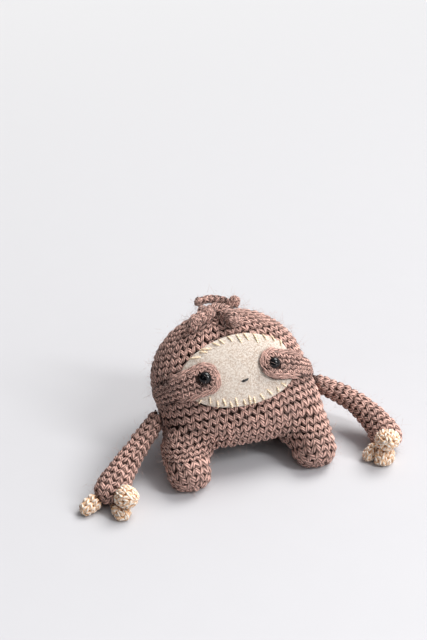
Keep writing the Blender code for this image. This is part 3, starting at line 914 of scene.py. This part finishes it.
felt = {
    "half": (28.4, 16.4),
    "power": 2.2,
    "thickness": 1.0,
    "tilt": 4.5,
    "gap": 0.28,  # between the bag and the felt
    "wave": 0.12,
    "waveTurns": (0.55, 0.6),
    "droop": 0.25,
    "spare": 0.75,  # how far past half the edge is cut
    "scallop": 0.35,  # and how far each whip stitch pulls it back
    "pullSpan": 1.5,
    "corner": 1.0,  # one corner is cut fuller, at this turn and for this span in degrees
    "cornerTurn": 24,
    "cornerSpan": 13,
    "bevel": 0.3,
    "rounds": 3,
    "segments": 176,
    "rings": 18,
    "areaShare": 0.815,  # of the rectangle round it
    "colour": (0.80, 0.72, 0.64),
    # Light and dark wool, brown flecks and pale patches: scale, detail and roughness of the noise,
    # its middle, gain and level, and the colour.
    "wools": (
        (1250.0, 3.0, 0.7, 0.5, 6.5, 0.40, (0.47, 0.34, 0.25)),
        (1900.0, 2.0, 0.7, 0.58, 9.0, 0.0, (0.24, 0.165, 0.12)),
        (130.0, 2.0, 0.5, 0.5, 0.8, 0.35, (0.74, 0.67, 0.595)),
    ),
}
# Whip stitches: the place of each one's hole in the felt, and where it ends past the felt's edge.
whipRadius = 0.43
whips = (
    (-24.5, 43.3, -26.4, 41.2),
    (-18.3, 48.4, -24.2, 48.2),
    (-12.6, 51.5, -18.6, 51.6),
    (-14.9, 50.2, -18.9, 50.6),
    (-8.1, 52.4, -12.0, 53.9),
    (-5.2, 52.7, -8.0, 54.9),
    (-0.4, 53.2, -2.6, 56.0),
    (4.4, 51.9, 2.9, 56.2),
    (8.7, 52.6, 7.6, 56.2),
    (13.2, 50.9, 13.2, 55.5),
    (18.6, 51.4, 18.4, 54.0),
    (22.8, 49.9, 22.9, 52.6),
    (25.2, 47.3, 26.6, 50.0),
    (-21.4, 28.7, -22.9, 27.2),
    (-17.2, 29.4, -18.0, 26.0),
    (-14.4, 27.1, -15.2, 23.8),
    (-11.6, 27.7, -11.5, 24.1),
    (-8.9, 25.6, -8.9, 22.8),
    (-6.0, 27.1, -6.4, 22.9),
    (-2.6, 25.6, -2.6, 22.7),
    (0.4, 26.9, -0.1, 22.8),
    (2.4, 26.0, 1.9, 22.6),
    (5.9, 26.9, 6.8, 23.8),
    (9.8, 28.4, 11.4, 25.4),
    (14.9, 28.6, 14.7, 26.0),
    (17.7, 30.1, 19.6, 27.9),
)
whips = np.array(whips).reshape(-1, 2, 2)


def feltEdge(turn):
    # A tilted superellipse that stands out between the whip stitches and is drawn in under them.
    parts = (math.cos(turn), math.sin(turn))
    shares = [math.copysign(abs(part) ** (2 / felt["power"]), part) for part in parts]
    across, up = np.array(shares) * felt["half"]
    cos, sin = math.cos(math.radians(felt["tilt"])), math.sin(math.radians(felt["tilt"]))
    edge = np.array((across * cos - up * sin, across * sin + up * cos))
    pull = min(np.linalg.norm(edge + (0, faceHeight) - outer) for _, outer in whips)
    corner = felt["corner"] * bell((math.degrees(turn) - felt["cornerTurn"]) / felt["cornerSpan"])
    spare = felt["spare"] + corner - felt["scallop"] * bell(pull / felt["pullSpan"])
    return edge * (1 + spare / np.linalg.norm(edge))


def makeFelt():
    mesh = bmesh.new()
    bmesh.ops.create_circle(mesh, cap_ends=True, cap_tris=True, segments=felt["segments"], radius=1)
    spokes = [edge for edge in mesh.edges if not edge.is_boundary]
    bmesh.ops.subdivide_edges(mesh, edges=spokes, cuts=felt["rings"])
    for vert in mesh.verts:
        reach = vert.co.xy.length
        edge = feltEdge(math.atan2(vert.co.y, vert.co.x))
        place = edge * reach + (0, faceHeight)
        turns = place * felt["waveTurns"] + (1, 0)
        wave = felt["wave"] * math.sin(turns[0]) * math.sin(turns[1])
        vert.co = facePoint(place, felt["gap"] + wave * (1 - reach) - felt["droop"] * reach**12)
    smoothed(mesh, mesh.verts, felt["rounds"])
    bmesh.ops.recalc_face_normals(mesh, faces=mesh.faces)
    bmesh.ops.solidify(mesh, geom=mesh.faces[:], thickness=-felt["thickness"] * mm)
    bmesh.ops.recalc_face_normals(mesh, faces=mesh.faces)
    rim = [edge for edge in mesh.edges if edge.calc_face_angle(0) > 1.0]
    offset = felt["bevel"] * mm
    bmesh.ops.bevel(mesh, geom=rim, offset=offset, segments=2, profile=0.5, affect="EDGES", material=-1)
    return makeObject("felt_face", mesh, feltCloth)


def feltMaterial():
    settings = {"Roughness": 0.95, "Specular IOR Level": 0.15, "Sheen Weight": 0.3, "Sheen Roughness": 0.6}
    material, tree, shader = newMaterial("oatmeal felt", settings)
    place = objectPlace(tree)
    colour = (*felt["colour"], 1)
    noises = []
    for scale, detail, roughness, middle, gain, level, wool in felt["wools"]:
        noises.append(noiseNode(tree, place, scale, detail, roughness))
        colour = mixColours(tree, ramp(tree, noises[-1], middle, gain, level), colour, (*wool, 1))
    dress(tree, shader, colour, mathNode(tree, "MULTIPLY_ADD", noises[1], 0.5, noises[0]), 0.25 * mm, 0.7)
    return material


def strand(mesh, points, radius, rings=3, sides=6):
    # A round thread through the points, closed and rounded at both ends.
    points = [Vector(point) for point in points]
    start, end = points[0], points[-1]
    back, beyond = (start - points[1]).normalized() * radius, (end - points[-2]).normalized() * radius
    turns = [math.pi / 2 * i / rings for i in range(rings + 1)]
    stops = [(start + back * math.cos(turn), math.sin(turn)) for turn in turns]
    stops += [(point, 1.0) for point in points[1:-1]]
    stops += [(end + beyond * math.cos(turn), math.sin(turn)) for turn in turns[::-1]]
    side = Vector((0.3, 0.2, 1)).normalized()
    loops = []
    for i, (place, share) in enumerate(stops[1:-1], 1):
        ahead = (stops[i + 1][0] - stops[i - 1][0]).normalized()
        side = (side - ahead * ahead.dot(side)).normalized()
        turned = Matrix.Translation(place) @ Matrix((side, ahead.cross(side), ahead)).transposed().to_4x4()
        ring = bmesh.ops.create_circle(mesh, segments=sides, radius=radius * share, matrix=turned)["verts"]
        loops.append({edge for vert in ring for edge in vert.link_edges})
    for near, far in zip(loops, loops[1:]):
        bmesh.ops.bridge_loops(mesh, edges=list(near | far))
    ends = [edge for edge in loops[0] | loops[-1] if edge.is_boundary]
    bmesh.ops.holes_fill(mesh, edges=ends, sides=sides)


def makeWhips():
    # Each comes up through the felt, crosses its edge and goes down into the bag.
    mesh = bmesh.new()
    top = felt["gap"] + felt["thickness"]
    lifts = ((0, top - 0.2), (0.3, top + 0.35), (0.65, top + 0.3), (0.9, top - 0.1), (0.97, 0.3))
    for inner, outer in whips:
        points = [facePoint(inner + (outer - inner) * share, lift) for share, lift in lifts]
        strand(mesh, points, whipRadius * mm)
    return makeObject("whip_stitches", mesh, creamThread)


def plainThread(name, pale, deep, roughness=0.7):
    # A fine thread, its twist drawn by slanted bands: the deep colour is painted shade in the grooves of the
    # twist.
    material, tree, shader = newMaterial(name, {"Roughness": roughness})
    waves = {"Vector": objectPlace(tree), "Scale": 420.0, "Distortion": 2.0}
    band = addNode(tree, "ShaderNodeTexWave", waves, bands_direction="DIAGONAL").outputs["Fac"]
    dress(tree, shader, mixColours(tree, band, (*deep, 1), (*pale, 1)), band, 0.08 * mm)
    return material


feltCloth = feltMaterial()
creamThread = plainThread("cream thread", (1.0, 0.90, 0.72), (0.88, 0.62, 0.36))
blackThread = plainThread("black thread", (0.035, 0.033, 0.034), (0.008, 0.008, 0.009), 0.5)

feltFace = makeFelt()
finishPiece(feltFace, "oatmeal_felt", "face_felt")
whipStitches = makeWhips()
finishPiece(whipStitches, "cream_yarn")
print("felt sewn on")


patch = {
    "left": ((17.7, 39.7), (40, 34)),  # the middles of the inner and the outer end
    "right": ((-17.0, 38.2), (-44, 32)),
    "radii": (7.1, 5.3),
    "thickness": 2.6,
    "rimShare": 0.45,  # of the thickness, at the edge
    "thinning": 0.4,
    "sunk": 0.2,
    "overFelt": 1.4,
    "overBag": 0.1,
    "stepMargin": 3.4,
    "eyeHole": 2.4,
    # Rings, stitch width, stitch height and lift.
    "rows": ((0.02, 0.38, 0.74), 3.0, 2.6, 0.35),
    "rim": ((0.68, 1.07), 5.0, 9.0, 0.55),
}


def patchLift(place):
    # Lift that clears the felt, easing down to the bag past its edge.
    margin = patch["stepMargin"]
    shares = np.abs(np.asarray(place) - (0, faceHeight)) / (np.array(felt["half"]) + margin)
    reach = (shares ** felt["power"]).sum() ** (1 / felt["power"])
    beyond = np.clip((reach - 1) * felt["half"][0] / margin, 0, 1)
    return patch["overFelt"] - (patch["overFelt"] - patch["overBag"]) * beyond * beyond * (3 - 2 * beyond)


def patchRings(name, shares, count=120):
    # Rings in from the patch's edge: share 0 is its spine from the inner to the outer end, 1 the edge.
    inner, outer = (np.array(end, float) for end in patch[name])
    near, far = patch["radii"]
    length = np.linalg.norm(outer - inner)
    heading = math.atan2(*(outer - inner)[::-1])
    flare = math.acos((near - far) / length)
    parts = np.cumsum((0, far * flare, length, near * (math.tau - 2 * flare), length, far * flare))
    at = np.linspace(0, parts[-1], count + 1)
    turns = heading + np.interp(at, parts, (0, flare, flare, math.tau - flare, math.tau - flare, math.tau))
    spines = np.interp(at, parts, (1, 1, 0, 0, 1, 1))
    rings = []
    for share in shares:
        ring = []
        dome = (1 - min(1.0, share) ** 3) ** (1 / 3)
        thick = patch["thickness"] * (patch["rimShare"] + (1 - patch["rimShare"]) * dome)
        for turn, spine in zip(turns, spines):
            radius = (near + (far - near) * spine) * share
            place = inner + (outer - inner) * spine + radius * np.array((math.cos(turn), math.sin(turn)))
            lift = thick * (1 - patch["thinning"] * spine) - patch["sunk"]
            ring.append(facePoint(place, patchLift(place) + lift))
        rings.append(ring[::-1])
    return np.array(rings[::-1])


eyes = {
    "left": ((16.8, 40.1), 2.8),  # place and radius
    "right": ((-16.6, 38.7), 3.05),
    "lift": 3.7,
    "flatness": 0.79,
    "finish": {"Base Color": (0.002, 0.002, 0.003, 1), "Roughness": 0.06, "Specular IOR Level": 0.35},
}
beadBlack = newMaterial("black bead", eyes["finish"])[0]

for name in leftRight:
    eye, radius = eyes[name]
    for part, lobes in (("rows", vLobes), ("rim", chainLobes)):
        shares, width, height, lift = patch[part]
        cells = rowCells(patchRings(name, shares), width * mm, height * mm)
        if part == "rows":
            gaps = np.linalg.norm(facePlaces(cells[:, :, 1].mean(axis=1)) - eye, axis=1)
            cells = cells[gaps > patch["eyeHole"]]
        makeStitches(f"eye_patch_{name}_{part}", cells, lobes, brownYarn, "brown_yarn", lift=lift * mm)
    makeCore(f"eye_patch_{name}", shadedCoreYarn, "brown_yarn", core["patchDepth"])

    mesh = bmesh.new()
    bmesh.ops.create_uvsphere(mesh, u_segments=32, v_segments=20, radius=radius * mm)
    bmesh.ops.scale(mesh, verts=mesh.verts, vec=(1, 1, eyes["flatness"]))
    middle = facePoint(eye, eyes["lift"])
    out = (facePoint(eye, eyes["lift"] + 2) - middle).to_track_quat("Z", "Y").to_matrix().to_4x4()
    bmesh.ops.transform(mesh, verts=mesh.verts, matrix=Matrix.Translation(middle) @ out)
    finishPiece(makeObject(f"bead_{name}", mesh, beadBlack), "black_bead", f"eye_{name}")

nose = {
    "place": (1.2, 34.7),
    "threads": ((0.15, 1.6), (-0.25, 1.2)),  # how far up, and half the length
    "slope": 0.22,
    "lifts": ((-1, 1.2), (-0.4, 1.55), (0.4, 1.6), (1, 1.25)),  # share of the half, and lift
    "radius": 0.36,
}
mesh = bmesh.new()
for up, half in nose["threads"]:
    across, height = nose["place"]
    points = []
    for share, lift in nose["lifts"]:
        points.append(facePoint((across + share * half, height + up + share * half * nose["slope"]), lift))
    strand(mesh, points, nose["radius"] * mm)
finishPiece(makeObject("nose", mesh, blackThread), "black_thread", "nose_stitch")
print("eyes and nose made")


fuzz = {
    "count": 4200,
    "radius": 0.045 * mm,
    "taper": 0.6,
    "length": (1.4 * mm, 4.4 * mm),
    "spread": 1.3 * mm,  # of the roots, from the middle of a stitch
    # Which way they go: out, aside, then bent aside and back in.
    "stand": 0.55,
    "stray": 0.5,
    "bend": 0.45,
    "sink": 0.2,
}


def fuzzMaterial():
    material, tree, shader = newMaterial("loose fibres", {"Roughness": 0.8, "Specular IOR Level": 0.2})
    shade = noiseNode(tree, objectPlace(tree), 300.0, 1.0)
    dress(tree, shader, mixColours(tree, shade, (0.42, 0.27, 0.23, 1), (0.85, 0.66, 0.60, 1)))
    return material


def makeFuzz():
    # Loose fibres that stand off the yarn, each a thin bent thread.
    mesh = bmesh.new()
    strand(mesh, [(0, 0, share) for share in (0, 0.25, 0.5, 0.75, 1)], 1, rings=1, sides=3)
    template = meshData("fibre", mesh)
    base = meshPoints(template)
    base[:, 2] = np.clip(base[:, 2], 0, 1)
    count = fuzz["count"]
    roots = np.concatenate(fuzzRoots)
    roots = roots[chance.integers(0, len(roots), count)]
    normals = roots[:, 1]
    starts = roots[:, 0] + chance.normal(size=(count, 3)) * fuzz["spread"]
    ways = normals * fuzz["stand"] + chance.normal(size=(count, 3)) * fuzz["stray"]
    ways /= np.linalg.norm(ways, axis=1)[:, None]
    bends = chance.normal(size=(count, 3)) * fuzz["bend"] - normals * fuzz["sink"]
    reach = chance.uniform(*fuzz["length"], size=(count, 1, 1))
    across = np.cross(ways, normals + (0.01, 0.02, 0.03))
    across /= np.linalg.norm(across, axis=1)[:, None]
    up = np.cross(ways, across)
    along = base[None, :, 2, None]
    points = starts[:, None] + reach * (ways[:, None] * along + bends[:, None] * along**2)
    thin = fuzz["radius"] * (1 - fuzz["taper"] * along)
    points = points + thin * (across[:, None] * base[None, :, 0, None] + up[:, None] * base[None, :, 1, None])
    points[:, :, 2] = np.maximum(points[:, :, 2], 0.05 * mm)
    finishPiece(makeCopies("loose_fibres", template, points, fuzzMaterial()), "brown_yarn")


makeFuzz()


def layFloor():
    mesh = bmesh.new()
    bmesh.ops.create_grid(mesh, x_segments=8, y_segments=8, size=studio["floorSize"] / 2)
    material, tree, shader = newMaterial("floor", {"Roughness": 0.7, "Specular IOR Level": 0.2})
    place = objectPlace(tree)
    light = [value * 1.02 for value in studio["floorColour"]]
    colour = mixColours(tree, noiseNode(tree, place, 60.0, 4.0), (*studio["floorColour"], 1), (*light, 1))
    # Painted light: the floor turns to the lighter far colour towards the back.
    behind = addNode(tree, "ShaderNodeSeparateXYZ", {0: place}).outputs[1]
    spans = {0: behind, 1: studio["fadeFrom"], 2: studio["fadeTo"], 3: 0.0, 4: 1.0}
    faded = addNode(tree, "ShaderNodeMapRange", spans).outputs[0]
    dress(tree, shader, mixColours(tree, faded, colour, (*studio["farColour"], 1)))
    floor = makeObject("floor", mesh, material, smooth=False)


layFloor()
